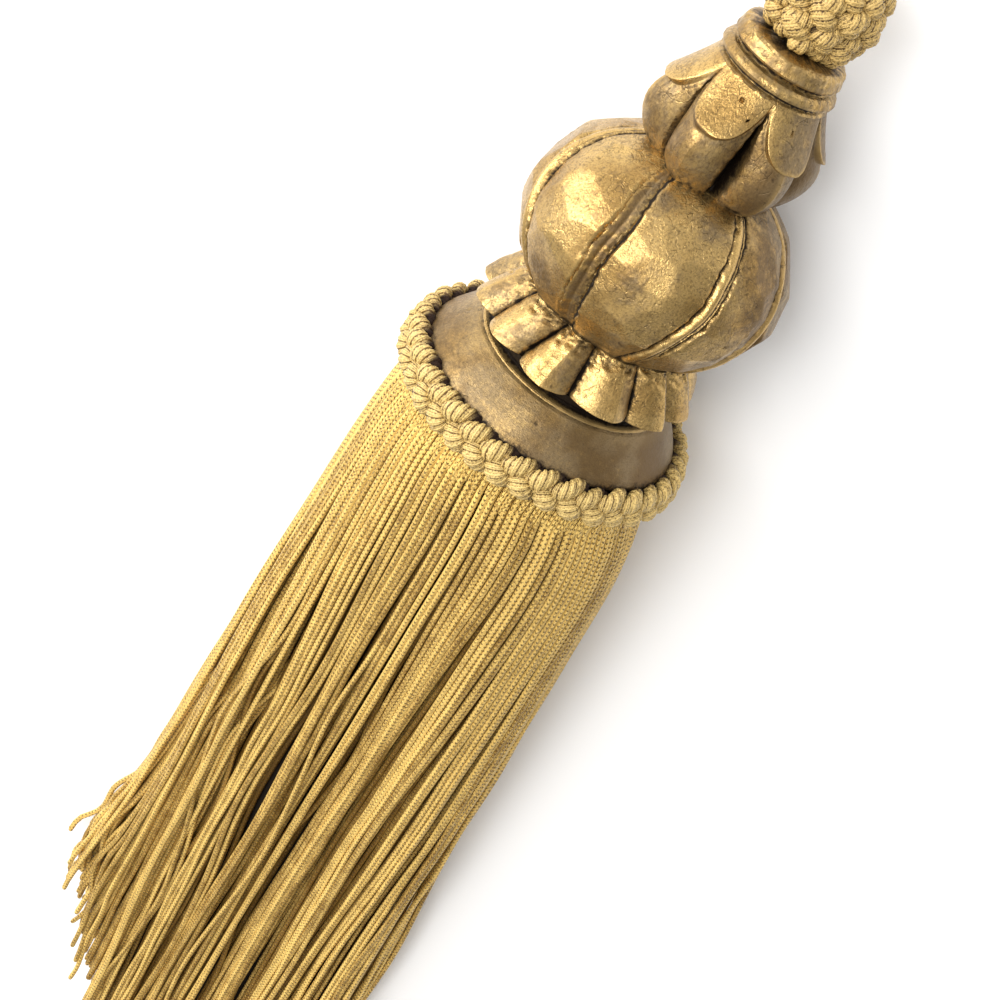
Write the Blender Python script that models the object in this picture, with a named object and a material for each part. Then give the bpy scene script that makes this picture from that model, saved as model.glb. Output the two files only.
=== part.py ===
"""Curtain tieback tassel lying on its side.

A turned and carved giltwood head (neck with petals, melon ball, gadroon ring, cup), a plait band
round the cup's rim, a ball knot of cord at the neck, and a skirt of chainette fringe that spreads
flat on the surface.  Metres, +Z up, the surface is z = 0, the neck points to +X.
"""

import math
import random

import bmesh
import bpy
from mathutils import Matrix, Vector

MM = 0.001
NAME = "tieback_tassel"

# The head's axis. Stations count in mm from the cup's rim, + towards the neck. Angles count from
# the top, + towards +Y. The axis droops towards the neck, so that ball and band both rest.
RIM_X = 87.15 * MM
RIM_Y = 11.92 * MM
RIM_HEIGHT = 29.5 * MM
DROOP = math.radians(4.4)

# Turned profiles, (station, radius) in mm, from the neck's end towards the skirt
BALL_STATION = 38.7
BALL_HALF_HEIGHT = 21.45
BALL_RADIUS = 27.0
BALL_TOP = 58.3
BALL_BOTTOM = 23.6
BALL_ROWS = 11
NECK_PROFILE = (
    (86.1, 9.7),
    (85.5, 10.4),
    (83.1, 11.1),
    (82.3, 10.1),
    (81.7, 11.4),
    (80.7, 12.1),
    (79.7, 11.1),
    (78.9, 11.6),
    (76.1, 13.5),
    (72.4, 15.9),
    (68.6, 17.6),
    (65.6, 18.0),
    (62.6, 17.0),
    (60.2, 14.5),
    (58.9, 12.0),
    (58.6, 9.3),
)
GADROON_PROFILE = (
    (23.3, 16.5),
    (22.6, 19.2),
    (19.9, 21.1),
    (16.5, 23.4),
    (13.8, 24.5),
    (12.9, 23.4),
    (12.5, 20.2),
    (10.5, 19.5),
)
CUP_PROFILE = (
    (10.2, 18.0),
    (9.8, 19.9),
    (8.6, 21.5),
    (6.4, 23.4),
    (3.9, 25.5),
    (1.5, 27.5),
    (0.2, 28.0),
    (0.0, 25.7),
    (-4.2, 25.7),
)
CUP_COLUMNS = 42

# One lobe of the melon ball, from rib to rib: share of its width, relief in mm
BALL_LOBES = 6
BALL_TURN = math.radians(16.0)
BALL_SECTION = (
    (0.000, 0.0),
    (0.040, -0.5),
    (0.075, -1.9),
    (0.170, -0.7),
    (0.340, 0.0),
    (0.500, 0.2),
    (0.660, 0.0),
    (0.830, -0.7),
    (0.925, -1.9),
    (0.960, -0.5),
)

# One petal of the neck, from crack to crack: share of its width, relief in mm at the open end
PETALS = 6
PETAL_TURN = math.radians(-14.0)
PETAL_SECTION = (
    (0.000, -6.0),
    (0.060, -1.8),
    (0.250, -0.3),
    (0.500, 0.0),
    (0.750, -0.3),
    (0.940, -1.8),
)
PETAL_OPEN_STATION = 64.0
PETAL_CLOSED_STATION = 76.0
PETAL_CORE = 0.45

# One flute of the gadroon ring, from valley to valley: share of its width, relief in mm
GADROONS = 12
GADROON_TURN = math.radians(-8.0)
GADROON_SECTION = (
    (0.00, -2.4),
    (0.16, -0.7),
    (0.50, 0.0),
    (0.84, -0.7),
)
GADROON_STATIONS = (12.6, 23.0)

# Plait band round the rim; a repeat is one cord bump in each of its two staggered rows
BAND_REPEATS = 38
BAND_STEPS = 4
BAND_RELIEF = 1.1
BAND_SECTION = (
    # station, radius, share of the relief, shift along the plait in repeats
    (0.7, 28.7, 0.0, 0.0),
    (0.7, 29.3, 0.3, 0.0),
    (-1.7, 29.9, 1.0, 0.0),
    (-4.1, 29.9, 0.7, 0.25),
    (-6.6, 29.9, 1.0, 0.5),
    (-8.9, 29.3, 0.3, 0.5),
    (-8.9, 28.7, 0.0, 0.5),
)

# Ball knot at the neck, in staggered rows of cord bumps
KNOT_BUMPS = 8
KNOT_STEPS = 4
KNOT_RELIEF = 0.8
KNOT_PROFILE = (
    # station, radius, share of the relief, shift in bumps
    (86.4, 4.1, 0.0, 0.0),
    (87.2, 7.1, 0.6, 0.0),
    (89.4, 8.2, 1.0, 0.0),
    (91.8, 8.9, 0.5, 0.25),
    (94.5, 10.2, 1.0, 0.5),
    (97.4, 10.6, 0.5, 0.75),
    (100.1, 9.9, 1.0, 1.0),
    (102.4, 8.1, 0.5, 1.25),
    (104.6, 5.7, 1.0, 1.5),
    (105.9, 2.8, 0.4, 1.75),
)
KNOT_CROWN = 106.5

# Fringe: a ring backing behind the band, and two layers of three-sided strands that hang from it
STRANDS_ROUND = 124
BACKING_TOP = -0.3
BACKING_FOOT = -4.5
BACKING_OUTER = 28.35
BACKING_INNER = 26.05
STRAND_WIDTH_SHARE = 0.78
# depth in mm below the skirt's outline of a strand's flat side and of its opposite edge
OUTER_LAYER = (0.0, 1.7)
INNER_LAYER = (2.8, 1.1)
INNER_SAG = 2.2
STRAND_STATIONS = (1.2, 4.8, 14.0, 56.0, 140.0)
STRAND_LENGTH = 276.0
STRAND_UNEVEN = 3.0
SEED = 7
# strands near the +Y edge end sooner: share of the half width where that starts, and by how much
EDGE_START = 0.55
EDGE_SHORTER = 50.0
EDGE_FLARE = 5.0
EDGE_FLARE_FROM = 150.0

# The skirt's flat-bottomed, round-ended section at distances from the backing's foot, all in mm
# but the lean, which is a share of the head's droop
SKIRT_COLUMNS = ("distance", "height", "width", "sway", "lift", "lean")
SKIRT_SECTIONS = (
    (0.0, 56.7, 56.7, 0.0, 1.58, 1.0),
    (4.8, 56.7, 56.7, 0.0, 1.95, 1.0),
    (14.0, 57.0, 60.6, -0.8, 0.0, 0.85),
    (22.0, 54.0, 62.9, -1.4, 0.0, 0.7),
    (56.0, 44.2, 68.2, -3.0, 0.0, 0.3),
    (101.0, 34.5, 73.4, -5.2, 0.0, 0.1),
    (154.0, 25.1, 78.6, -7.6, 0.0, 0.0),
    (229.0, 15.5, 83.6, -12.2, 0.0, 0.0),
    (285.0, 12.5, 85.9, -15.8, 0.0, 0.0),
)

# The strands bunch: waves across the skirt, wavelength, sideways shift, sink and phase drift
BUNCH_COLUMNS = ("wave", "shift", "sink", "drift")
BUNCHES = (
    (17.0, 0.60, 1.1, 0.006),
    (9.5, 0.25, 0.5, -0.009),
)
BUNCH_FROM = 14.0
BUNCH_FULL = 130.0

# name, colour, roughness, metallic
GILTWOOD = ("worn_gilt_wood", (0.42, 0.28, 0.09), 0.42, 0.55)
STRAW_CORD = ("straw_gold_cord", (0.60, 0.43, 0.15), 0.80, 0.0)
GOLD_YARN = ("golden_tan_yarn", (0.44, 0.29, 0.07), 0.75, 0.0)


def clear_scene():
    for obj in list(bpy.data.objects):
        bpy.data.objects.remove(obj, do_unlink=True)


def make_material(name, colour, roughness, metallic):
    material = bpy.data.materials.new(name)
    material.use_nodes = True
    shader = material.node_tree.nodes["Principled BSDF"]
    shader.inputs["Base Color"].default_value = (*colour, 1.0)
    shader.inputs["Roughness"].default_value = roughness
    shader.inputs["Metallic"].default_value = metallic
    material.diffuse_color = (*colour, 1.0)
    return material


def new_collection(name):
    collection = bpy.data.collections.new(name)
    bpy.context.scene.collection.children.link(collection)
    return collection


def add_object(name, mesh, material, collection, parent):
    data = bpy.data.meshes.new(name)
    mesh.to_mesh(data)
    mesh.free()
    data.materials.append(material)
    data.shade_smooth()
    data.set_sharp_from_angle(angle=math.radians(35.0))
    obj = bpy.data.objects.new(name, data)
    obj.parent = parent
    collection.objects.link(obj)
    return obj


def head_matrix():
    """From the head's own frame, whose +Z is the axis and whose -X is the top, to the world."""
    turn = Matrix.Rotation(math.pi / 2 + DROOP, 4, "Y")
    return Matrix.Translation((RIM_X, RIM_Y, RIM_HEIGHT)) @ turn


def head_point(station, radius, angle):
    """A point of the head's own frame from its station and radius in mm."""
    return Vector((-math.cos(angle) * radius, math.sin(angle) * radius, station)) * MM


def turned_blank(profile, columns):
    """A closed turned body: the profile is spun round the axis, with a pole at each end."""
    mesh = bmesh.new()
    rows = [(profile[0][0], 0.0), *profile, (profile[-1][0], 0.0)]
    chain = [mesh.verts.new(head_point(station, radius, 0.0)) for station, radius in rows]
    edges = [mesh.edges.new(pair) for pair in zip(chain, chain[1:])]
    bmesh.ops.spin(mesh, geom=chain + edges, cent=(0, 0, 0), axis=(0, 0, 1),
                   angle=math.tau, steps=columns, use_merge=True)
    bmesh.ops.remove_doubles(mesh, verts=mesh.verts, dist=1e-7)
    bmesh.ops.recalc_face_normals(mesh, faces=mesh.faces)
    return mesh


def carve(mesh, repeats, turn, section, carved_radius):
    """Place each column of a turned blank across its repeat and give it its carved radius."""
    columns = repeats * len(section)
    for vert in mesh.verts:
        radius = math.hypot(vert.co.x, vert.co.y) / MM
        if radius < 0.001:
            continue
        column = round(math.atan2(vert.co.y, -vert.co.x) / math.tau * columns) % columns
        repeat, step = divmod(column, len(section))
        share, relief = section[step]
        station = vert.co.z / MM
        angle = turn + math.tau * (repeat + share) / repeats
        vert.co = head_point(station, carved_radius(station, radius, relief), angle)


def flatten_under(mesh):
    """Cut a small flat spot where the piece rests on the surface."""
    to_head = head_matrix().inverted()
    bmesh.ops.bisect_plane(
        mesh, geom=mesh.verts[:] + mesh.edges[:] + mesh.faces[:], dist=2e-5,
        plane_co=to_head @ Vector((0, 0, 0)), plane_no=to_head.to_3x3() @ Vector((0, 0, -1)),
        clear_outer=True)
    bmesh.ops.holes_fill(mesh, edges=[edge for edge in mesh.edges if edge.is_boundary])


def join_rings(mesh, rings):
    """Skin a run of closed rings with quads."""
    for ring, following in zip(rings, rings[1:]):
        for index in range(len(ring)):
            after = (index + 1) % len(ring)
            mesh.faces.new((ring[index], ring[after], following[after], following[index]))


def ball_profile():
    """Stations and radii down an oblate ball between its two flat ends."""
    first = math.acos((BALL_TOP - BALL_STATION) / BALL_HALF_HEIGHT)
    last = math.acos((BALL_BOTTOM - BALL_STATION) / BALL_HALF_HEIGHT)
    angles = [first + (last - first) * row / (BALL_ROWS - 1) for row in range(BALL_ROWS)]
    return [(BALL_STATION + BALL_HALF_HEIGHT * math.cos(angle), BALL_RADIUS * math.sin(angle))
            for angle in angles]


def ball_mesh():
    """Lobes between narrow raised ribs, shallower towards both ends."""
    def carved_radius(station, radius, relief):
        return radius + relief * radius / BALL_RADIUS

    mesh = turned_blank(ball_profile(), BALL_LOBES * len(BALL_SECTION))
    carve(mesh, BALL_LOBES, BALL_TURN, BALL_SECTION, carved_radius)
    flatten_under(mesh)
    return mesh


def neck_mesh():
    """Collar, bead and petals, whose cracks deepen towards their open end."""
    def carved_radius(station, radius, relief):
        depth = (PETAL_CLOSED_STATION - station) / (PETAL_CLOSED_STATION - PETAL_OPEN_STATION)
        depth = min(max(depth, 0.0), 1.0)
        return max(radius + relief * depth, radius * PETAL_CORE)

    mesh = turned_blank(NECK_PROFILE, PETALS * len(PETAL_SECTION))
    carve(mesh, PETALS, PETAL_TURN, PETAL_SECTION, carved_radius)
    return mesh


def gadroon_mesh():
    """A sloping ring of flutes on a plain core."""
    def carved_radius(station, radius, relief):
        low, high = GADROON_STATIONS
        return radius + relief if low < station < high else radius

    mesh = turned_blank(GADROON_PROFILE, GADROONS * len(GADROON_SECTION))
    carve(mesh, GADROONS, GADROON_TURN, GADROON_SECTION, carved_radius)
    return mesh


def bump(phase):
    """Height of a row of rounded cord bumps, from -1 in the narrow grooves to 1."""
    return 1.0 - 2.0 * abs(math.cos(math.pi * phase)) ** 3


def band_mesh():
    """A closed ring whose outer rows rise in the plait's staggered bumps."""
    mesh = bmesh.new()
    columns = BAND_REPEATS * BAND_STEPS
    rings = []
    for column in range(columns):
        ring = []
        for station, radius, share, shift in BAND_SECTION:
            relief = BAND_RELIEF * share * bump(column / BAND_STEPS + shift)
            place = head_point(station, radius + relief, math.tau * column / columns)
            ring.append(mesh.verts.new(place))
        rings.append(ring)
    join_rings(mesh, rings + rings[:1])
    bmesh.ops.recalc_face_normals(mesh, faces=mesh.faces)
    flatten_under(mesh)
    return mesh


def knot_mesh():
    """A ball of staggered rows of cord bumps, closed by a pole at each end."""
    mesh = bmesh.new()
    columns = KNOT_BUMPS * KNOT_STEPS
    rings = []
    for station, radius, share, shift in KNOT_PROFILE:
        ring = []
        for column in range(columns):
            relief = KNOT_RELIEF * share * bump(column / KNOT_STEPS + shift)
            place = head_point(station, radius + relief, math.tau * column / columns)
            ring.append(mesh.verts.new(place))
        rings.append(ring)
    join_rings(mesh, rings)
    for ring, station in ((rings[0], KNOT_PROFILE[0][0]), (rings[-1], KNOT_CROWN)):
        pole = mesh.verts.new(head_point(station, 0.0, 0.0))
        for index, vert in enumerate(ring):
            mesh.faces.new((vert, ring[(index + 1) % columns], pole))
    bmesh.ops.recalc_face_normals(mesh, faces=mesh.faces)
    return mesh


def hermite(part, start, end, slope_in, slope_out):
    square, cube = part ** 2, part ** 3
    return ((2 * cube - 3 * square + 1) * start + (cube - 2 * square + part) * slope_in
            + (3 * square - 2 * cube) * end + (cube - square) * slope_out)


def skirt_section(distance):
    """The named values of the skirt's section, on a smooth curve through the table's rows."""
    last = len(SKIRT_SECTIONS) - 1
    index = max(i for i in range(last) if i == 0 or distance >= SKIRT_SECTIONS[i][0])
    before, start, end, after = (SKIRT_SECTIONS[min(max(index + step, 0), last)]
                                 for step in (-1, 0, 1, 2))
    span = end[0] - start[0]
    part = min((distance - start[0]) / span, 1.0)
    values = {}
    for name, *column in zip(SKIRT_COLUMNS, before, start, end, after):
        slope_in = (column[2] - column[0]) / (end[0] - before[0]) * span
        slope_out = (column[3] - column[1]) / (after[0] - start[0]) * span
        values[name] = hermite(part, column[1], column[2], slope_in, slope_out)
    return values


def outline_point(share, depth, height, width):
    """Across and up of a point of the section, inset by depth; share 0 is the top's middle."""
    flat = width - height
    radius = height / 2 - depth
    travel = abs((share + 0.5) % 1.0 - 0.5) * (2 * flat + math.tau * radius)
    side = 1.0 if share % 1.0 < 0.5 else -1.0
    bend = (travel - flat / 2) / radius
    if bend <= 0.0:
        across, up = travel, radius
    elif bend <= math.pi:
        across, up = flat / 2 + radius * math.sin(bend), radius * math.cos(bend)
    else:
        across, up = flat / 2 - (bend - math.pi) * radius, -radius
    return side * across, up + height / 2


def ramp(value, start, full):
    part = min(max((value - start) / (full - start), 0.0), 1.0)
    return part * part * (3.0 - 2.0 * part)


def bunch(across, up, section):
    """Bunch the strands sideways and let the top sink between the bunches; the foot stays level."""
    distance, height = section["distance"], section["height"]
    growth = ramp(distance, BUNCH_FROM, BUNCH_FULL)
    shift, sink = 0.0, 0.0
    for row in BUNCHES:
        values = dict(zip(BUNCH_COLUMNS, row))
        phase = math.tau * across / values["wave"] + values["drift"] * distance
        shift += values["shift"] * growth * math.sin(phase)
        sink += values["sink"] * growth * (1.0 - math.cos(phase)) / 2
    edge = ramp(across / (section["width"] / 2), EDGE_START, 1.0)
    shift += EDGE_FLARE * edge * ramp(distance, EDGE_FLARE_FROM, STRAND_LENGTH - EDGE_SHORTER)
    return across + shift, up * (1.0 - sink / height)


def skirt_point(share, depth, distance):
    """World place of a point of the skirt."""
    section = skirt_section(distance)
    height = section["height"]
    across, up = outline_point(share, depth, height, section["width"])
    across, up = bunch(across, up, section)
    lean = DROOP * section["lean"]
    along = BACKING_FOOT * math.cos(DROOP) - distance + math.sin(lean) * (up - height / 2)
    offset = Vector((along, across + section["sway"], section["lift"] + math.cos(lean) * up))
    return Vector((RIM_X, RIM_Y, 0.0)) + offset * MM


def strand_lengths(count):
    """Uneven lengths, shorter towards the skirt's +Y edge."""
    chance = random.Random(SEED)
    height, width = SKIRT_SECTIONS[-1][1:3]
    lengths = []
    for index in range(count):
        across, _ = outline_point(index / count, 0.0, height, width)
        shorter = EDGE_SHORTER * ramp(across / (width / 2), EDGE_START, 1.0)
        lengths.append(STRAND_LENGTH - shorter - chance.uniform(0.0, STRAND_UNEVEN))
    return lengths


def fringe_mesh():
    """A ring backing whose foot is a zigzag of triangles, each drawn out into one strand."""
    mesh = bmesh.new()
    mesh.faces.layers.int.new("strand")
    count = STRANDS_ROUND
    thickness = BACKING_OUTER - BACKING_INNER
    rings = []
    for shift, radius, depth in ((0.0, BACKING_OUTER, 0.0), (0.5, BACKING_INNER, thickness)):
        shares = [(index + shift) / count for index in range(count)]
        foot = [mesh.verts.new(skirt_point(share, depth, 0.0)) for share in shares]
        top = [mesh.verts.new(head_matrix() @ head_point(BACKING_TOP, radius, share * math.tau))
               for share in shares]
        join_rings(mesh, (foot, top))
        rings.append((foot, top))
    (outer_foot, outer_top), (inner_foot, inner_top) = rings
    strands, tips = [], []
    for index in range(count):
        after = (index + 1) % count
        mesh.faces.new((outer_top[index], outer_top[after], inner_top[index]))
        mesh.faces.new((inner_top[index], outer_top[after], inner_top[after]))
        corners = {outer_foot[index]: -0.5, outer_foot[after]: 0.5, inner_foot[index]: None}
        tips.append(mesh.faces.new(corners))
        strands.append((index + 0.5, OUTER_LAYER, 0.0, corners))
        corners = {inner_foot[index]: -0.5, inner_foot[after]: 0.5, outer_foot[after]: None}
        tips.append(mesh.faces.new(corners))
        strands.append((index + 1.0, INNER_LAYER, INNER_SAG, corners))
    bmesh.ops.recalc_face_normals(mesh, faces=mesh.faces)
    draw_out_strands(mesh, tips, strands)
    return mesh


def draw_out_strands(mesh, tips, strands):
    """Extrude each tip face station by station, three corners to a strand."""
    strand_layer = mesh.faces.layers.int["strand"]
    offsets = []
    for index, (face, strand) in enumerate(zip(tips, strands)):
        face[strand_layer] = index
        offsets.append([strand[3][vert] for vert in face.verts])
    lengths = strand_lengths(len(strands))
    for step in range(len(STRAND_STATIONS) + 1):
        tips = bmesh.ops.extrude_discrete_faces(mesh, faces=tips)["faces"]
        for face in tips:
            index = face[strand_layer]
            middle, (flat_depth, edge_depth), sag, _ = strands[index]
            distance = (*STRAND_STATIONS, lengths[index])[step]
            sunk = sag * ramp(distance, BUNCH_FROM, BUNCH_FULL)
            for vert, offset in zip(face.verts, offsets[index]):
                share = (middle + (offset or 0.0) * STRAND_WIDTH_SHARE) / STRANDS_ROUND
                depth = edge_depth if offset is None else flat_depth
                vert.co = skirt_point(share, depth + sunk, distance)


def head_empty(collection):
    empty = bpy.data.objects.new("head", None)
    empty.matrix_world = head_matrix()
    collection.objects.link(empty)
    return empty


def main():
    clear_scene()
    collection = new_collection(NAME)
    head = head_empty(collection)
    gilt, straw, yarn = (make_material(*look) for look in (GILTWOOD, STRAW_CORD, GOLD_YARN))
    add_object("cord_knot", knot_mesh(), straw, collection, head)
    add_object("neck_calyx", neck_mesh(), gilt, collection, head)
    add_object("melon_ball", ball_mesh(), gilt, collection, head)
    add_object("gadroon_ring", gadroon_mesh(), gilt, collection, head)
    add_object("cup", turned_blank(CUP_PROFILE, CUP_COLUMNS), gilt, collection, head)
    add_object("plait_band", band_mesh(), straw, collection, head)
    add_object("fringe", fringe_mesh(), yarn, collection, None)


main()
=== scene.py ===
"""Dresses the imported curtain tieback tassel: carved worn gilding, twisted cords, chainette strands.

Table lengths are millimetres. Stations count along the head's axis from the cup's rim, + towards
the neck; angles count round it from the top, + towards +Y.
"""
import math
from functools import partial, partialmethod, reduce

import bpy
import numpy as np
from mathutils import Matrix, Vector
from numpy.random import default_rng


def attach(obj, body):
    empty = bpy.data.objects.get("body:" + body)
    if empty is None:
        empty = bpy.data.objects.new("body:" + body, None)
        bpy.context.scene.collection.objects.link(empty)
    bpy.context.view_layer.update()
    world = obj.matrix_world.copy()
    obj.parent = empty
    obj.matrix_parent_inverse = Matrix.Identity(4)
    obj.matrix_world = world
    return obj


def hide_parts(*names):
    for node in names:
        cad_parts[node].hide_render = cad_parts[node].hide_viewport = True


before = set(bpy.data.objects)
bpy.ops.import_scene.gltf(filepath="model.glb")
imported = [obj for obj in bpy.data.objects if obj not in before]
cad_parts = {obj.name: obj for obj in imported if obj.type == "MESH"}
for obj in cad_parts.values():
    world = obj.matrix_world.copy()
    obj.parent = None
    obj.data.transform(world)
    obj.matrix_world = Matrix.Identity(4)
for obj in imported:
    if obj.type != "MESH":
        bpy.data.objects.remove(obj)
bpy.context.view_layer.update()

MM = 0.001
SEED = 11
TAU = math.tau

# ---- sizes shared with the solids
RIM = np.array((87.15, 11.92, 29.5))
DROOP = math.radians(4.4)

BALL_STATION = 38.7
BALL_HALF_HEIGHT = 21.45
BALL_RADIUS = 27.0
BALL_TOP = 58.3
BALL_BOTTOM = 23.6

BACKING_FOOT = -4.5
SKIRT_ROWS = np.array((
    # distance, height, width, sway, lift, lean
    (0.0, 56.7, 56.7, 0.0, 1.58, 1.0),
    (4.8, 56.7, 56.7, 0.0, 1.95, 1.0),
    (14.0, 57.0, 60.6, -0.8, 0.0, 0.85),
    (22.0, 54.0, 62.9, -1.4, 0.0, 0.7),
    (56.0, 44.2, 68.2, -3.0, 0.0, 0.3),
    (101.0, 34.5, 73.4, -5.2, 0.0, 0.1),
    (154.0, 25.1, 78.6, -7.6, 0.0, 0.0),
    (229.0, 15.5, 83.6, -12.2, 0.0, 0.0),
    (285.0, 12.5, 85.9, -15.8, 0.0, 0.0),
))
STRAND_LENGTH = 276.0
EDGE_START = 0.55
EDGE_SHORTER = 50.0

# ---- camera
CAMERA_AT = (0.32745, 0.00825, 0.38733)
CAMERA_TURN = (-31.6197, 20.4448, -60.3302)
CAMERA_LENS = 77.56


def ramp(value, start, full):
    """0 at start, 1 at full, smooth between and level beyond; full may be the lower one."""
    part = np.clip((np.asarray(value, float) - start) / (full - start), 0.0, 1.0)
    return part * part * (3.0 - 2.0 * part)


def bell(value, width):
    return np.exp(-(value / width) ** 2)


def wrapped(angle):
    """The same bearing within half a turn of 0."""
    return (angle + math.pi) % TAU - math.pi


def full_turn(count):
    return np.arange(count) / count * TAU


def largest(*fields):
    return reduce(np.maximum, fields)


def unit(vectors):
    return vectors / np.linalg.norm(vectors, axis=-1, keepdims=True)


def smooth_rows(rows, at):
    """Columns of a table on a smooth curve through its rows; the first column holds the stops."""
    rows = np.asarray(rows, float)
    if rows[0, 0] > rows[-1, 0]:
        rows = rows[::-1]
    stops, values = rows[:, 0], rows[:, 1:]
    slopes = np.gradient(values, stops, axis=0)
    at = np.clip(at, stops[0], stops[-1])
    index = np.clip(np.searchsorted(stops, at, "right") - 1, 0, len(stops) - 2)
    span = (stops[index + 1] - stops[index])[..., None]
    part = (at - stops[index])[..., None] / span
    square, cube = part ** 2, part ** 3
    found = ((2 * cube - 3 * square + 1) * values[index] + (3 * square - 2 * cube) * values[index + 1]
             + (cube - 2 * square + part) * span * slopes[index]
             + (cube - square) * span * slopes[index + 1])
    return np.moveaxis(found, -1, 0)


HEAD = Matrix.Translation(RIM * MM) @ Matrix.Rotation(math.pi / 2 + DROOP, 4, "Y")
HEAD_TURN = np.array(HEAD.to_3x3())


def head_local(station, radius, angle):
    """Points of the head's own frame in mm: +Z is the axis and -X the top."""
    across = np.sin(angle) * radius
    return np.stack((-np.cos(angle) * radius, across,
                     np.broadcast_to(station, across.shape).astype(float)), -1)


def rest_on_surface(points):
    """Press what would sink under the surface flat on it; points are in the head's own frame."""
    world = points @ HEAD_TURN.T + RIM
    world[..., 2] = np.maximum(world[..., 2], 0.0)
    return (world - RIM) @ HEAD_TURN


# ---- meshes
# point values that gilding reads: darkening in hollows (grime and painted shade), brightening on edges
# (rubbing and painted highlight) and dullness (age and painted shade)
GILDING_FIELDS = ("cavity", "edge", "dull_and_shade")


def new_mesh(verts, faces, fields, strand=None):
    """verts in mm; faces is a list of arrays of quads or triangles, wound outward.

    fields holds a value a point under each label, and strand three values a corner.
    """
    mesh = bpy.data.meshes.new("piece")
    mesh.from_pydata((verts * MM).tolist(), [], [face for block in faces for face in block.tolist()])
    for label, values in fields.items():
        attribute = mesh.attributes.new(label, "FLOAT", "POINT")
        attribute.data.foreach_set("value", np.asarray(values, np.float32).ravel())
    if strand is not None:
        attribute = mesh.attributes.new("strand", "FLOAT_VECTOR", "CORNER")
        attribute.data.foreach_set("vector", np.asarray(strand, np.float32).ravel())
    mesh.shade_smooth()
    mesh.validate()
    return mesh


def add_object(name, data):
    obj = bpy.data.objects.new(name, data)
    bpy.context.scene.collection.objects.link(obj)
    return obj


def add_piece(name, mesh, material, nodes=(), matrix=Matrix()):
    mesh.name = name
    obj = add_object(name, mesh)
    obj.matrix_world = matrix
    mesh.materials.append(material)
    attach(obj, "root")
    if nodes:
        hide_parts(*nodes)


def wall_quads(count, steps, sides):
    """Quads round the walls of tubes, and the tube, step and side that each of them starts at."""
    tube, step, side = np.meshgrid(np.arange(count), np.arange(steps - 1), np.arange(sides),
                                   indexing="ij")
    base = (tube * steps + step) * sides
    after = (side + 1) % sides
    quads = np.stack((base + side, base + after, base + sides + after, base + sides + side), -1)
    return quads.reshape(-1, 4), tube.ravel(), step.ravel(), side.ravel()


def signed_volume(verts, faces):
    total = 0.0
    for block in faces:
        for index in range(1, block.shape[1] - 1):
            a, b, c = (verts[block[:, k]] for k in (0, index, index + 1))
            total += np.einsum("ij,ij->i", a, np.cross(b, c)).sum()
    return total


def lathe_mesh(points, fields=(), sharp=40.0):
    """A closed body from rows of points round an axis, with a pole at each end.

    fields are the cavity, edge and dullness at the points; gilding reads them. The cavity darkens with
    grime and painted shade, the edge brightens with rubbing and a painted highlight, and the dullness
    holds age and painted shade.
    """
    rows, columns, _ = points.shape
    verts = np.concatenate((points.reshape(-1, 3), points[:1].mean(1), points[-1:].mean(1)))
    pole, foot = rows * columns, (rows - 1) * columns
    ring = np.arange(columns)
    after = (ring + 1) % columns
    top = np.stack((np.full(columns, pole), after, ring), -1)
    bottom = np.stack((np.full(columns, pole + 1), foot + ring, foot + after), -1)
    faces = [wall_quads(1, rows, columns)[0], top, bottom]
    if signed_volume(verts, faces) < 0:
        faces = [block[:, ::-1] for block in faces]
    padded = {label: np.append(value.ravel(), (value[0].mean(), value[-1].mean()))
              for label, value in zip(GILDING_FIELDS, fields)}
    mesh = new_mesh(verts, faces, padded)
    mesh.set_sharp_from_angle(angle=math.radians(sharp))
    return mesh


def tube_part(paths, sides, wide, high, along, tag, up=(0.0, 0.0, 1.0)):
    """Closed tubes along paths of (tube, step, xyz), as verts, quads, caps and both's values.

    wide and high are half sizes by step and side. A corner's values are the travel along, the
    share of the way round and the tag.
    """
    count, steps, _ = paths.shape
    tangent = unit(np.gradient(paths, axis=1))
    side = unit(np.cross(tangent, np.broadcast_to(up, paths.shape)))
    lift = np.cross(side, tangent)
    turn = full_turn(sides)
    rings = (paths[:, :, None] + (wide * np.cos(turn))[..., None] * side[:, :, None]
             + (high * np.sin(turn))[..., None] * lift[:, :, None])
    quads, tube, step, corner = wall_quads(count, steps, sides)
    tag = np.broadcast_to(tag, along.shape)
    place = tube[:, None], step[:, None] + np.array((0, 0, 1, 1))
    share = (corner[:, None] + np.array((0, 1, 1, 0))) / sides
    values = np.stack((along[place], share, tag[place]), -1)
    starts = (np.arange(count) * steps * sides)[:, None] + np.arange(sides)
    caps = np.concatenate((starts[:, ::-1], starts + (steps - 1) * sides))
    ends = [np.stack((along[:, end], np.zeros(count), tag[:, end]), -1) for end in (0, -1)]
    return rings.reshape(-1, 3), quads, caps, values, np.repeat(np.concatenate(ends), sides, axis=0)


def tube_mesh(parts):
    """One mesh of the parts, their walls first and their caps last."""
    start, placed = 0, []
    for verts, quads, caps, values, cap_values in parts:
        if signed_volume(verts, [quads]) < 0:
            quads, caps, values = quads[:, ::-1], caps[:, ::-1], values[:, ::-1]
        placed.append((verts, quads + start, caps + start, values.reshape(-1, 3), cap_values))
        start += len(verts)
    verts, quads, caps, values, cap_values = zip(*placed)
    return new_mesh(np.concatenate(verts), [*quads, *caps], {}, np.concatenate([*values, *cap_values]))


def smooth_noise(chance, members, distance, waves, size):
    """Smooth random curves along strands, sums of long waves; equal members share a curve."""
    total = np.zeros_like(distance)
    curves = int(members.max()) + 1
    for wave in waves:
        phase = chance.uniform(0, TAU, curves)[members, None]
        scale = chance.normal(0.0, 1.0, curves)[members, None]
        stretch = chance.uniform(0.8, 1.25, curves)[members, None]
        total += scale * np.sin(TAU * distance / (wave * stretch) + phase) * wave / waves[0]
    return size * total / math.sqrt(len(waves))


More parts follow.
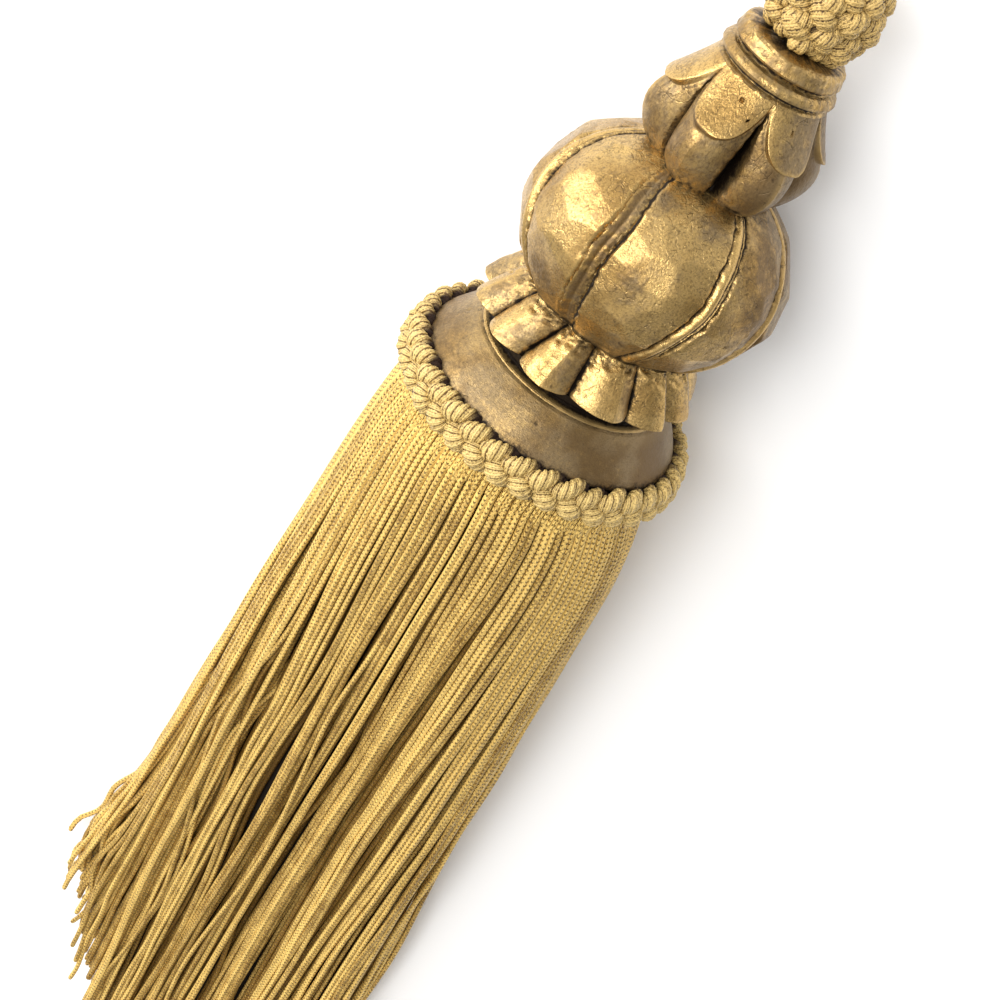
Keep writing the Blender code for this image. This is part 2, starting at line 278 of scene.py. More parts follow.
def rough_field(points, size, seed):
    """A smooth random field over points in mm, about -1 to 1, with bumps of the given size."""
    chance = default_rng(seed)
    total = np.zeros(points.shape[:-1])
    for _ in range(16):
        bearing = chance.normal(size=3)
        bearing *= TAU / (np.linalg.norm(bearing) * size * chance.uniform(0.7, 1.5))
        total += np.sin(points @ bearing + chance.uniform(0.0, TAU))
    return total / 4.0


# ---- shader nodes
class Shader:
    """The node tree of a material or a world, built by short calls that return sockets."""

    def __init__(self, owner, surface="Principled BSDF"):
        owner.use_nodes = True
        self.owner = owner
        self.tree = owner.node_tree
        self.surface = self.tree.nodes[surface]

    def node(self, kind, inputs=None, **settings):
        node = self.tree.nodes.new(kind)
        for name, value in settings.items():
            setattr(node, name, value)
        for name, value in (inputs or {}).items():
            self.put(node.inputs[name], value)
        return node

    def put(self, socket, value):
        if isinstance(value, bpy.types.NodeSocket):
            self.tree.links.new(value, socket)
        elif value is not None:
            socket.default_value = (*value, 1.0) if socket.type == "RGBA" else value

    def set(self, name, value):
        self.put(self.surface.inputs[name], value)

    def object_place(self):
        return self.node("ShaderNodeTexCoord").outputs["Object"]

    def attribute(self, name, output="Fac"):
        return self.node("ShaderNodeAttribute", attribute_name=name).outputs[output]

    def strand_values(self):
        """What tube_part wrote: travel along, share round and tag."""
        return self.node("ShaderNodeSeparateXYZ", {0: self.attribute("strand", "Vector")}).outputs

    def scaled(self, vector, factors):
        return self.node("ShaderNodeMapping", {"Vector": vector, "Scale": factors}).outputs[0]

    def noise(self, vector, scale, detail, roughness=0.55, output="Fac"):
        return self.node("ShaderNodeTexNoise", {
            "Vector": vector, "Scale": scale, "Detail": detail, "Roughness": roughness}).outputs[output]

    def cell_edge(self, vector, scale):
        """Distance to the nearest border between random cells."""
        return self.node("ShaderNodeTexVoronoi", {"Vector": vector, "Scale": scale},
                         feature="DISTANCE_TO_EDGE").outputs["Distance"]

    def math(self, operation, first, second=0.0, third=0.0):
        return self.node("ShaderNodeMath", {0: first, 1: second, 2: third},
                         operation=operation).outputs[0]

    add = partialmethod(math, "ADD")
    minus = partialmethod(math, "SUBTRACT")
    times = partialmethod(math, "MULTIPLY")
    line = partialmethod(math, "MULTIPLY_ADD")
    larger = partialmethod(math, "MAXIMUM")
    absolute = partialmethod(math, "ABSOLUTE")
    sine = partialmethod(math, "SINE")

    def swing(self, noise, size):
        """Noise moved to lie about 0, size wide."""
        return self.line(noise, size, -0.5 * size)

    def band(self, value, low, high, least=0.0, most=1.0):
        """least below low, most above high, smooth between."""
        return self.node("ShaderNodeMapRange", {
            "Value": value, "From Min": low, "From Max": high, "To Min": least, "To Max": most},
            interpolation_type="SMOOTHSTEP").outputs[0]

    def mix(self, factor, first, second):
        return self.node("ShaderNodeMix", {0: factor, 6: first, 7: second}, data_type="RGBA").outputs[2]

    def blend(self, factor, first, second):
        return self.node("ShaderNodeMix", {0: factor, 2: first, 3: second}, data_type="FLOAT").outputs[0]

    def bump(self, height, distance, strength, under=None):
        return self.node("ShaderNodeBump", {
            "Height": height, "Distance": distance, "Strength": strength, "Normal": under}).outputs[0]


LEAF = (0.60, 0.40, 0.150)
LEAF_DEEP = (0.40, 0.245, 0.080)
PATINA = (0.110, 0.066, 0.027)
GREY_WORN = (0.165, 0.120, 0.070)
# near black of cracks, pits and grime, and of painted shade in hollows
CREVICE = (0.012, 0.006, 0.002)
WEAR_OF_DULL_AND_SHADE = 0.60
WEAR_OF_EDGE = -0.35
WEAR_AT_LEAST = 0.10
CRAZE_CELLS = 430.0
CRAZE_WARP = 0.0022


def gilding_cracks(shade, place, crazed):
    """A few long cracks, and in places a fine net of them."""
    split = shade.absolute(shade.minus(shade.noise(place, 130.0, 3.0, 0.6), 0.5))
    crack = shade.times(shade.band(split, 0.006, 0.0),
                        shade.band(shade.noise(place, 60.0, 1.0), 0.56, 0.62))
    shift = shade.scaled(shade.noise(place, 420.0, 3.0, 0.5, "Color"), (CRAZE_WARP,) * 3)
    warped = shade.node("ShaderNodeVectorMath", {0: place, 1: shift}, operation="ADD").outputs[0]
    net = shade.times(shade.band(shade.cell_edge(warped, CRAZE_CELLS), 0.075, 0.0),
                      shade.band(shade.noise(place, 190.0, 3.0), 0.47, 0.60))
    return shade.larger(crack, shade.times(net, crazed))


def gilding(name, drawn=(1.0, 1.0, 1.0), mottle=1.0, crazed=0.6):
    """Worn bronze gilding: bright on rubbed ridges, with a painted highlight on edges; brown and grey
    where aged, and where the dullness paints shade; dark in cuts, from grime and painted shade.

    drawn squeezes the patches and the grain along the axes; mottle is the strength of patches
    and pits, and crazed that of the net of cracks.
    """
    shade = Shader(bpy.data.materials.new(name))
    place = shade.object_place()
    cavity, edge, dull_and_shade = (shade.attribute(label) for label in GILDING_FIELDS)
    drawn_place = shade.scaled(place, drawn)
    broad = shade.noise(place, 75.0, 3.0)
    patch = shade.noise(drawn_place, 330.0, 5.0, 0.75)
    speck = shade.noise(place, 1250.0, 3.0, 0.75)
    grain = shade.noise(drawn_place, 2300.0, 2.0, 0.8)
    leaf = shade.mix(shade.band(broad, 0.36, 0.64), LEAF_DEEP, LEAF)
    old = shade.mix(shade.band(broad, 0.42, 0.58), PATINA, GREY_WORN)
    # painted shade: the dullness brings painted shade as well as age; rubbed edges lower it
    wear_and_shade = shade.line(dull_and_shade, WEAR_OF_DULL_AND_SHADE, shade.line(edge, WEAR_OF_EDGE, WEAR_AT_LEAST))
    wear_and_shade = shade.add(shade.add(wear_and_shade, shade.swing(patch, 1.5 * mottle)), shade.swing(speck, 0.9))
    wear_and_painted_light = shade.band(wear_and_shade, 0.0, 0.9)
    colour = shade.mix(shade.times(wear_and_painted_light, 0.85), leaf, old)
    colour = shade.mix(shade.times(shade.band(grain, 0.47, 0.66), 0.52), colour, PATINA)
    # edges brighter: rubbing, and a painted highlight
    colour = shade.mix(shade.times(edge, 0.6), colour, LEAF)
    crack = gilding_cracks(shade, place, crazed)
    # painted shade: hollows darken with grime and painted shade, towards CREVICE together with cracks
    # and pits
    grime_and_shade = shade.add(cavity, shade.swing(speck, 1.0))
    pits = shade.times(shade.band(shade.noise(place, 620.0, 3.0, 0.7), 0.62, 0.70), 0.5 * mottle)
    dark = shade.larger(shade.larger(shade.band(grime_and_shade, 0.22, 0.8), shade.times(crack, 0.6)), pits)
    shade.set("Base Color", shade.mix(dark, colour, CREVICE))
    matte = shade.larger(shade.times(wear_and_painted_light, 0.7), dark)
    shade.set("Metallic", shade.blend(matte, 0.95, 0.55))
    shade.set("Roughness", shade.blend(matte, shade.line(speck, 0.3, 0.13), 0.52))
    normal = shade.bump(patch, 0.00014, 0.7)
    normal = shade.bump(speck, 0.00008, 0.8, normal)
    shade.set("Normal", shade.bump(shade.minus(grain, crack), 0.00008, 0.9, normal))
    return shade.owner


WRAP_STARTS = 3
WRAP_PITCH = 3.4
THREADS_IN_WRAP = 3
STRAW_LIGHT = (0.80, 0.57, 0.205)
STRAW_DARK = (0.15, 0.070, 0.011)
KNOT_LIGHT = (0.74, 0.50, 0.170)
KNOT_DARK = (0.085, 0.036, 0.006)
CORD_DEEP = (0.022, 0.007, 0.001)


def cord_satin(name, light, dark):
    """Fine satin threads wrapped round a core, darker where a cord dives under the next; that darkening,
    and the dark grooves between wraps and threads, are painted shade.
    """
    shade = Shader(bpy.data.materials.new(name))
    along, around, exposed = shade.strand_values()
    fuzz = shade.noise(shade.object_place(), 2300.0, 2.0, 0.7)
    turns = shade.minus(around, shade.math("DIVIDE", along, WRAP_PITCH))
    turns = shade.line(fuzz, 0.09, turns)
    wrap, thread = (shade.absolute(shade.sine(shade.times(turns, 0.5 * ridges * TAU)))
                    for ridges in (WRAP_STARTS, WRAP_STARTS * THREADS_IN_WRAP))
    # painted shade: darker in the grooves between wraps and between threads
    level = shade.line(thread, 0.26, shade.line(shade.band(wrap, 0.0, 0.8), 0.38, -0.01))
    level = shade.add(level, shade.swing(fuzz, 2.1))
    # painted shade: lighter where a cord lies on top, darker where it dives
    level = shade.add(level, shade.line(exposed, 0.35, -0.12))
    colour = shade.mix(shade.band(level, 0.0, 0.95), dark, light)
    # painted shade towards CORD_DEEP in the grooves and where a cord dives
    sunk = shade.times(shade.band(wrap, 0.30, 0.0), 0.36)
    sunk = shade.larger(sunk, shade.band(exposed, 0.60, 0.14))
    shade.set("Base Color", shade.mix(sunk, colour, CORD_DEEP))
    shade.set("Roughness", shade.blend(sunk, 0.36, 0.85))
    shade.set("Specular IOR Level", 0.40)
    normal = shade.bump(thread, 0.00016, 0.9)
    shade.set("Normal", shade.bump(fuzz, 0.00020, 0.9, normal))
    return shade.owner


YARN_LIGHT = (0.90, 0.61, 0.175)
YARN_MIDDLE = (0.25, 0.130, 0.020)
# near black of the fringe's core: painted shade deep inside the skirt
YARN_CORE_SHADE = (0.016, 0.008, 0.002)
YARN_DARK = (0.075, 0.030, 0.004)
STITCH = 1.35
STITCH_COLUMNS = 4.0
TURN_OF_TAG = 7.3
TUCKED_LENGTH = 45.0


def chainette(name):
    """Knitted chainette: columns of stitches with a dark hollow in each, which is painted shade; the tag
    sets each strand's lightness, with its layer's painted shade.
    """
    shade = Shader(bpy.data.materials.new(name))
    along, around, tag = shade.strand_values()
    columns = shade.times(shade.add(around, shade.times(tag, TURN_OF_TAG)), STITCH_COLUMNS)
    column = shade.math("FLOOR", columns)
    across = shade.minus(columns, column)
    step = shade.add(shade.times(along, 1.0 / STITCH), shade.times(column, 0.5))
    slant = shade.add(step, shade.times(shade.absolute(shade.minus(across, 0.5)), 0.9))
    wave = shade.sine(shade.times(slant, TAU))
    bow = shade.sine(shade.times(across, math.pi))
    hollow = shade.times(shade.band(wave, 0.25, 0.95), shade.band(bow, 0.35, 0.95))
    fuzz = shade.noise(shade.object_place(), 2500.0, 2.0, 0.8)
    run = shade.noise(shade.object_place(), 160.0, 2.0)
    level = shade.add(shade.line(tag, 0.55, 0.27), shade.swing(fuzz, 2.4))
    level = shade.add(level, shade.swing(run, 0.7))
    level = shade.line(shade.band(along, TUCKED_LENGTH, 0.0), 0.14, level)
    colour = shade.mix(shade.band(level, 0.0, 1.0), YARN_MIDDLE, YARN_LIGHT)
    # painted shade in the stitch hollows
    shade.set("Base Color", shade.mix(shade.times(hollow, 0.9), colour, YARN_DARK))
    shade.set("Roughness", 0.45)
    shade.set("Specular IOR Level", 0.30)
    normal = shade.bump(shade.minus(shade.times(bow, 0.6), hollow), 0.00020, 0.9)
    shade.set("Normal", shade.bump(fuzz, 0.00014, 0.8, normal))
    return shade.owner


def flat_material(name, colour, roughness):
    shade = Shader(bpy.data.materials.new(name))
    shade.set("Base Color", colour)
    shade.set("Roughness", roughness)
    return shade.owner


# ---- the carved ball
LOBES = 6
RIB_STATIONS = (57.0, 50.0, 43.0, 36.0, 27.0)
RIBS = (
    # degrees at each of the stations above, width, whether it slopes down to one side
    ((85.0, 75.0, 68.0, 60.5, 55.0), 3.4, False),
    ((24.5, 17.3, 16.6, 15.6, 16.0), 3.5, True),
    ((-47.5, -39.5, -35.5, -30.0, -25.0), 3.0, False),
    ((-106.0, -86.0, -77.0, -69.0, -62.0), 3.2, False),
    ((-164.0, -153.0, -147.0, -140.0, -136.0), 3.4, True),
    ((146.0, 139.0, 134.0, 129.0, 124.0), 3.2, False),
)
GROOVE_DEPTH = 1.3
SLOPE_DEPTH = 1.7
BEAD_HEIGHT = 0.7
FACET_STATIONS = (56.5, 51.5, 46.5, 41.0, 35.5, 30.0, 25.5)
FACETS_ACROSS = 3
FACET_TILT = 0.065
FACET_SHARPNESS = 2600.0
BRIGHT_FACETS = ((48.3, 34.0), (48.0, 5.0))
DULL_PATCHES = (
    # station, degrees, size
    (41.5, -2.0, 3.0), (33.0, -57.0, 4.0), (38.0, -62.0, 3.0), (54.5, 12.0, 3.0), (29.5, 38.0, 3.5),
    (29.0, -12.0, 3.0), (55.0, -25.0, 3.0), (44.0, 105.0, 5.0), (36.0, 170.0, 5.0),
)
# bearing beyond which the ball is painted duller and darker: painted shade on the side turned from the
# lamps
SHADED_SIDE = math.radians(-28.0)
BALL_ROWS = 176
LOBE_COLUMNS = 68


def rib_angle(index, station):
    return np.radians(smooth_rows(list(zip(RIB_STATIONS, RIBS[index][0])), station)[0])


def ball_unit(station, angle):
    """Direction on the ball's own unit sphere."""
    along = (station - BALL_STATION) / BALL_HALF_HEIGHT
    return head_local(along, np.sqrt(np.clip(1.0 - along ** 2, 0.0, 1.0)), angle)


def gouge_facets(bearings):
    """Radius of a unit ball, cut by flat gouge strokes set out between the ribs, at bearings."""
    chance = default_rng(SEED)
    places = []
    for index in range(LOBES):
        for station in FACET_STATIONS:
            for column in range(FACETS_ACROSS):
                at = station + chance.uniform(-1.1, 1.1)
                left, right = rib_angle(index, at), rib_angle((index + 1) % LOBES, at)
                gap = (left - right) % TAU
                share = (column + 0.5 + chance.uniform(-0.12, 0.12)) / FACETS_ACROSS
                places.append(ball_unit(at, left - gap * share))
    places = np.array(places)
    normals = places + chance.normal(0.0, FACET_TILT, places.shape)
    for station, bearing in BRIGHT_FACETS:
        bright = ball_unit(station, np.radians(bearing))
        nearest = np.argmin(np.linalg.norm(places - bright, axis=1))
        places[nearest] = normals[nearest] = bright
    normals = unit(normals)
    reach = np.einsum("ij,ij->i", normals, places)
    total = np.zeros(bearings.shape[:-1])
    for normal, distance in zip(normals, reach):
        total += np.clip(bearings @ normal / distance, 0.0, None) ** FACET_SHARPNESS
    return total ** (-1.0 / FACET_SHARPNESS)


def spread_between(count, margin):
    """Shares from 0 to 1 without 1, closer together near both ends."""
    even = np.arange(count) / count
    return even - margin * np.sin(TAU * even) / TAU


def rib_cuts(reach, half):
    """The grooves along a rib's right and left side."""
    return bell(reach + half + 0.2, 0.42), bell(reach - half - 0.15, 0.34)


def sloping_rib(reach, half, inside, ragged, crumbs):
    """Relief, cavity, edge and dullness of a rib cut as a slope with crumbly beads beside it."""
    share = np.clip(reach / half, -1.0, 1.0)
    right_cut, left_cut = rib_cuts(reach, half)
    border = bell(np.abs(reach) - half + 0.30, 0.26) * ramp(crumbs, -0.9, 0.5)
    relief = -inside * (0.4 + SLOPE_DEPTH * (1.0 - share) / 2 + 0.05 * crumbs)
    relief -= 0.8 * right_cut + 0.25 * left_cut - 0.22 * border
    relief -= 0.30 * inside * bell(share - 0.1, 0.22)
    cavity = largest(inside * 0.34 * (0.5 - share), 1.1 * right_cut, 0.45 * left_cut)
    edge = largest(0.85 * border, 0.9 * bell(reach - half - 0.75, 0.35),
                   0.6 * bell(reach + half + 1.0, 0.35))
    return relief, cavity, edge, inside * (0.95 + 0.3 * ragged) * (1.0 - 0.8 * border)


def beaded_rib(reach, half, inside):
    """Relief, cavity, edge and dullness of a rib of a wide and a narrow bead between grooves."""
    share = np.clip(reach / half, -1.0, 1.0)
    right_cut, left_cut = rib_cuts(reach, half)
    main = np.clip(1.0 - ((share - 0.28) / 0.72) ** 2, 0.0, 1.0)
    second = np.clip(1.0 - ((share + 0.74) / 0.30) ** 2, 0.0, 1.0)
    relief = inside * (BEAD_HEIGHT * np.maximum(main, 0.55 * second) - 0.5)
    relief -= GROOVE_DEPTH * (0.8 * right_cut + 0.5 * left_cut)
    cavity = largest(0.95 * right_cut, 0.76 * left_cut, 0.75 * inside * bell(share + 0.46, 0.13))
    return relief, cavity, inside * main, 0.0


def ball_mesh():
    """Rows are stations and columns follow the ribs, so that every cut runs along the mesh."""
    first, last = (math.acos((end - BALL_STATION) / BALL_HALF_HEIGHT) for end in (BALL_TOP, BALL_BOTTOM))
    polar = np.linspace(first, last, BALL_ROWS)[:, None]
    station = BALL_STATION + BALL_HALF_HEIGHT * np.cos(polar)
    ribs = [rib_angle(index, station[:, 0])[:, None] for index in range(LOBES)]
    shares = spread_between(LOBE_COLUMNS, 0.78)
    angle = np.concatenate([rib - ((rib - following) % TAU) * shares
                            for rib, following in zip(ribs, ribs[1:] + ribs[:1])], 1)
    station, radius = station + 0.0 * angle, BALL_RADIUS * np.sin(polar) + 0.0 * angle
    place = head_local(station, radius, angle)
    ragged = rough_field(place, 2.4, SEED + 41)
    crumbs = rough_field(place, 1.0, SEED + 42)
    relief, cavity, edge, dull_and_shade = (np.zeros(angle.shape) for _ in range(4))
    lobe = np.ones(angle.shape)
    for index, (_, width, slopes_down) in enumerate(RIBS):
        reach = wrapped(angle - rib_angle(index, station)) * radius
        half = 0.5 * width * (0.62 + 0.38 * ramp(radius, 10.0, 24.0)) + 0.16 * ragged
        outside = np.abs(reach) - half
        inside = ramp(outside, 0.15, -0.25)
        if slopes_down:
            cut, grime_and_shade, wear_and_painted_light, old = sloping_rib(reach, half, inside, ragged, crumbs)
        else:
            cut, grime_and_shade, wear_and_painted_light, old = beaded_rib(reach, half, inside)
        away = np.where(outside > 0, outside, np.inf)
        relief += cut - 0.65 * np.exp(-away / 2.2)
        cavity = largest(cavity, grime_and_shade, np.exp(-away / 1.5) * (0.34 + 0.22 * ragged))
        edge = np.maximum(edge, wear_and_painted_light)
        dull_and_shade = np.maximum(dull_and_shade, old)
        lobe *= ramp(outside, 0.0, 1.2)
    for at, bearing, size in DULL_PATCHES:
        middle = BALL_RADIUS * math.sqrt(1.0 - ((at - BALL_STATION) / BALL_HALF_HEIGHT) ** 2)
        middle = head_local(at, middle, np.radians(bearing))
        away = np.linalg.norm(place - middle, axis=-1) / size + 0.35 * ragged
        dull_and_shade = np.maximum(dull_and_shade, 0.9 * ramp(away, 1.6, 0.3))
        relief += 0.07 * crumbs * ramp(away, 1.2, 0.6)
    # painted shade: duller and darker on the side turned from the lamps, and towards the gadroons
    dull_and_shade = largest(dull_and_shade, 0.85 * ramp(wrapped(angle), SHADED_SIDE, 2.6 * SHADED_SIDE),
                   0.6 * ramp(station, 32.0, 24.0)) + 0.10 + 0.10 * ragged
    relief *= ramp(radius, 6.0, 14.0)
    faceted = 1.0 + (gouge_facets(ball_unit(station, angle)) - 1.0) * lobe
    points = head_local(BALL_STATION + (station - BALL_STATION) * np.minimum(faceted, 1.01),
                        radius * (faceted + relief / BALL_RADIUS), angle)
    points[..., 2] = np.clip(points[..., 2], BALL_BOTTOM, BALL_TOP)
    # painted shade: darker towards both ends, where the ball meets the gadroons and the neck
    cavity = largest(cavity, 0.7 * ramp(station, 25.4, 24.0), 0.6 * ramp(station, 57.8, 58.3))
    return lathe_mesh(rest_on_surface(points), (cavity, edge, dull_and_shade), 28.0)


# ---- the carved neck
COLLAR_ROWS = np.array((
    # station, radius, cavity, edge
    (87.2, 5.0, 0.75, 0.0),
    (87.2, 8.6, 0.45, 0.0),
    (87.1, 9.6, 0.28, 0.2),
    (86.8, 10.2, 0.0, 0.8),
    (86.3, 10.6, 0.0, 0.6),
    (84.9, 10.9, 0.0, 0.2),
    (84.2, 11.1, 0.0, 0.3),
    (83.8, 10.9, 0.4, 0.1),
    (83.5, 10.1, 0.85, 0.0),
    (83.1, 9.9, 0.55, 0.2),
    (82.8, 10.2, 0.1, 1.0),
    (82.5, 11.0, 0.15, 0.4),
    (82.0, 11.6, 0.0, 0.4),
    (81.2, 12.0, 0.0, 0.3),
    (80.7, 11.9, 0.1, 0.2),
    (80.4, 11.2, 0.6, 0.0),
    (80.1, 10.9, 0.9, 0.0),
    (79.8, 10.9, 0.4, 0.9),
    (79.5, 11.3, 0.3, 0.5),
    (79.2, 11.6, 0.0, 0.1),
))
COLLAR_EDGE = 86.7
PETALS = 6
PETAL_MIDDLE = math.radians(15.0)
PETAL_TOP = 79.0
HALF_PETAL = 7.9
NECK_FOOT = 57.0
TONGUE_RADII = ((79.0, 11.6), (76.1, 13.3), (73.0, 15.3), (70.0, 17.4), (66.0, 19.0), (57.0, 22.6))
RIDGE_RADII = ((79.0, 11.3), (74.0, 14.4), (70.0, 16.5), (67.5, 17.6), (65.6, 17.9),
               (62.6, 17.4), (60.0, 16.0), (58.4, 14.7), (57.0, 12.9))
CRACK_RADII = ((79.0, 11.2), (75.0, 12.6), (72.0, 13.0), (68.0, 12.8), (63.0, 12.6),
               (60.0, 12.2), (57.0, 10.8))
TONGUE_END = 70.0
TONGUE_RISE = 9.5
TONGUE_POWER = 3.0
WORN_TONGUE_EDGE = math.radians(24.0)
WIDE_CRACK = math.radians(-15.0)
CRACK_DEPTH = 2.6
NECK_COLUMNS = 312


def dense(rows, count):
    """Points evenly spaced along a profile table's line, with its other columns."""
    steps = np.hypot(*np.diff(rows[:, :2], axis=0).T)
    travel = np.append(0.0, np.cumsum(steps))
    wanted = np.union1d(np.linspace(0.0, travel[-1], count), travel)
    return np.stack([np.interp(wanted, travel, column) for column in rows.T], -1)


def neck_mesh():
    """Six petals, each a raised tongue over two facets that meet at a crease; cracks between."""
    angle = full_turn(NECK_COLUMNS)[None]
    collar = dense(COLLAR_ROWS, 46)
    share = ((angle - PETAL_MIDDLE) / (TAU / PETALS) + 0.5) % 1.0 - 0.5
    across = np.abs(share) * 2.0
    end = TONGUE_END + TONGUE_RISE * across ** TONGUE_POWER + 0.8 * share + 0.05 * np.sin(angle * 29.0)
    # rows of the collar, then down to the tongue's end, then down to the ball
    rows_end = np.minimum(end, PETAL_TOP - 0.6)
    above = np.linspace(0.0, 1.0, 40)[:, None]
    below = np.linspace(0.0, 1.0, 84)[1:, None]
    station = np.concatenate((
        collar[:, :1] + 0.0 * across,
        PETAL_TOP + (rows_end - PETAL_TOP) * (1.0 - (1.0 - above) ** 1.3),
        rows_end + (NECK_FOOT - rows_end) * below ** 1.15))
    across = across + 0.0 * station
    # the tongue rounds down to the crack's floor and the facets slope straight to it
    ridge, floor, tongue = (smooth_rows(radii, station)[0]
                            for radii in (RIDGE_RADII, CRACK_RADII, TONGUE_RADII))
    tongue = tongue - (tongue - floor - 0.3) * (0.22 * across ** 2 + 0.78 * across ** 5)
    facet = ridge - (ridge - floor) * (0.62 * across + 0.38 * across ** 2.6)
    steep = TONGUE_RISE * TONGUE_POWER * across ** (TONGUE_POWER - 1.0) / HALF_PETAL
    beyond = (station - end) / np.sqrt(1.0 + steep ** 2)
    worn_edge = bell(angle - WORN_TONGUE_EDGE, 0.30)
    bevel = 0.45 + 1.1 * worn_edge
    on_tongue = ramp(beyond, -bevel, 0.15)
    radius = facet + (np.maximum(tongue, facet) - facet) * on_tongue
    place = head_local(station, radius, angle)
    ragged = rough_field(place, 2.0, SEED + 43)
    crumbs = rough_field(place, 0.9, SEED + 44)
    # cracks between the petals widen downwards, most at WIDE_CRACK
    width = 0.35 + 0.65 * bell(wrapped(angle - WIDE_CRACK), 0.5)
    crack_half = 0.03 + width * (0.27 * ramp(station, 77.0, 62.5) + 0.03 * ragged)
    crack = ramp(across, 1.0 - crack_half, 1.0 - 0.1 * crack_half)
    opened = ramp(station, 78.3, 73.0)
    radius = radius - CRACK_DEPTH * crack * opened * ramp(radius, 9.8, 12.5) + 0.02 * crumbs * opened
    # cracks darken with grime and painted shade; under the tongues' ends and towards the ball the
    # darkening is painted shade
    under = bell(beyond + bevel + 0.35, 0.45)
    cavity = largest(crack ** 0.7 * opened, 0.40 * ramp(across, 0.66, 0.95) * opened,
                     0.5 * under * ramp(across, 0.30, 0.8),
                     (0.40 + 0.3 * ragged) * ramp(station, 60.5, 58.2))
    edge = 0.8 * bell(beyond - 0.1, 0.45) * ramp(across, 0.95, 0.85)
    edge = np.maximum(edge, 0.6 * bell(across, 0.07) * (1.0 - on_tongue)) * (1.0 - worn_edge)
    # painted shade: petals turned from the lamps, from -22 to -50 degrees round, are painted duller and
    # darker
    shaded = ramp(np.degrees(wrapped(angle)), -22.0, -50.0)
    dull_and_shade = np.maximum(1.4 * worn_edge * bell(beyond + 0.5, 0.9),
                      1.25 * shaded + 0.75 * (1.0 - on_tongue) + 0.15 * ragged)
    # painted highlight: the middle tongue is made brighter and more metallic by lowering its dullness
    dull_and_shade = dull_and_shade - 0.7 * bell(angle - PETAL_MIDDLE, 0.30) * on_tongue * (1.0 - worn_edge * 0.5)
    # the rows of the collar and its bead, with small chips along their edges
    rows = len(collar)
    chips = 0.16 * rough_field(place[:rows], 1.6, SEED + 45)
    radius[:rows] = collar[:, 1:2] + bell(collar[:, :1] - COLLAR_EDGE, 0.35) * chips + 0.25 * chips
    cavity[:rows] = collar[:, 2:3] + 0.8 * chips * (collar[:, 2:3] > 0.1)
    edge[:rows] = collar[:, 3:4] * np.clip(0.6 + 3.0 * chips, 0.0, 1.0)
    dull_and_shade[:rows] = 0.7 + 3.0 * chips
    points = head_local(station, radius, angle)
    return lathe_mesh(points, (cavity, edge, dull_and_shade), 32.0)


# ---- the gadroons and the cup
GADROON_ROWS = np.array((
    # station, radius, cavity, edge
    (23.6, 14.5, 0.9, 0.0),
    (23.6, 17.6, 0.8, 0.0),
    (23.1, 18.8, 0.45, 0.3),
    (22.2, 19.7, 0.1, 0.3),
    (19.9, 21.3, 0.0, 0.1),
    (16.5, 23.5, 0.0, 0.0),
    (14.0, 24.7, 0.0, 0.3),
    (13.35, 24.9, 0.0, 0.9),
    (13.15, 24.7, 0.1, 0.7),
    (13.0, 24.0, 0.3, 0.0),
    (12.85, 22.0, 0.8, 0.0),
    (12.5, 19.9, 1.0, 0.0),
    (10.5, 19.4, 1.0, 0.0),
))
VALLEYS_AT_CUP = (51, 23, -8, -41, -67, -97, -127, -157, -188, -218, -248, -279)
VALLEYS_AT_BALL = (48.5, 15.5, -6.5, -38.0, -62.0, -92.0, -123.0, -154.0, -185.0, -216.0, -247.0, -280.0)
RIDGE_SHARES = (0.5, 0.56, 0.70, 0.76, 0.55, 0.5, 0.6, 0.45, 0.55, 0.5, 0.6, 0.5)
REED_ENDS = (0.1, -0.3, 0.25, -0.1, 0.3, -0.2, 0.2, -0.3, 0.1, 0.3, -0.2, 0.0)
VALLEY_STATIONS = (14.5, 23.0)
VALLEY_DEPTH = 3.1
REED_SIDE_COLUMNS = 20
REED_BULGES = (0.30, 0.12)  # of a reed's first and second side
# painted shade: each reed's second side, turned from the lamps, is painted greyer, darker and less
# metallic
REED_GREYS = (0.0, 0.8)


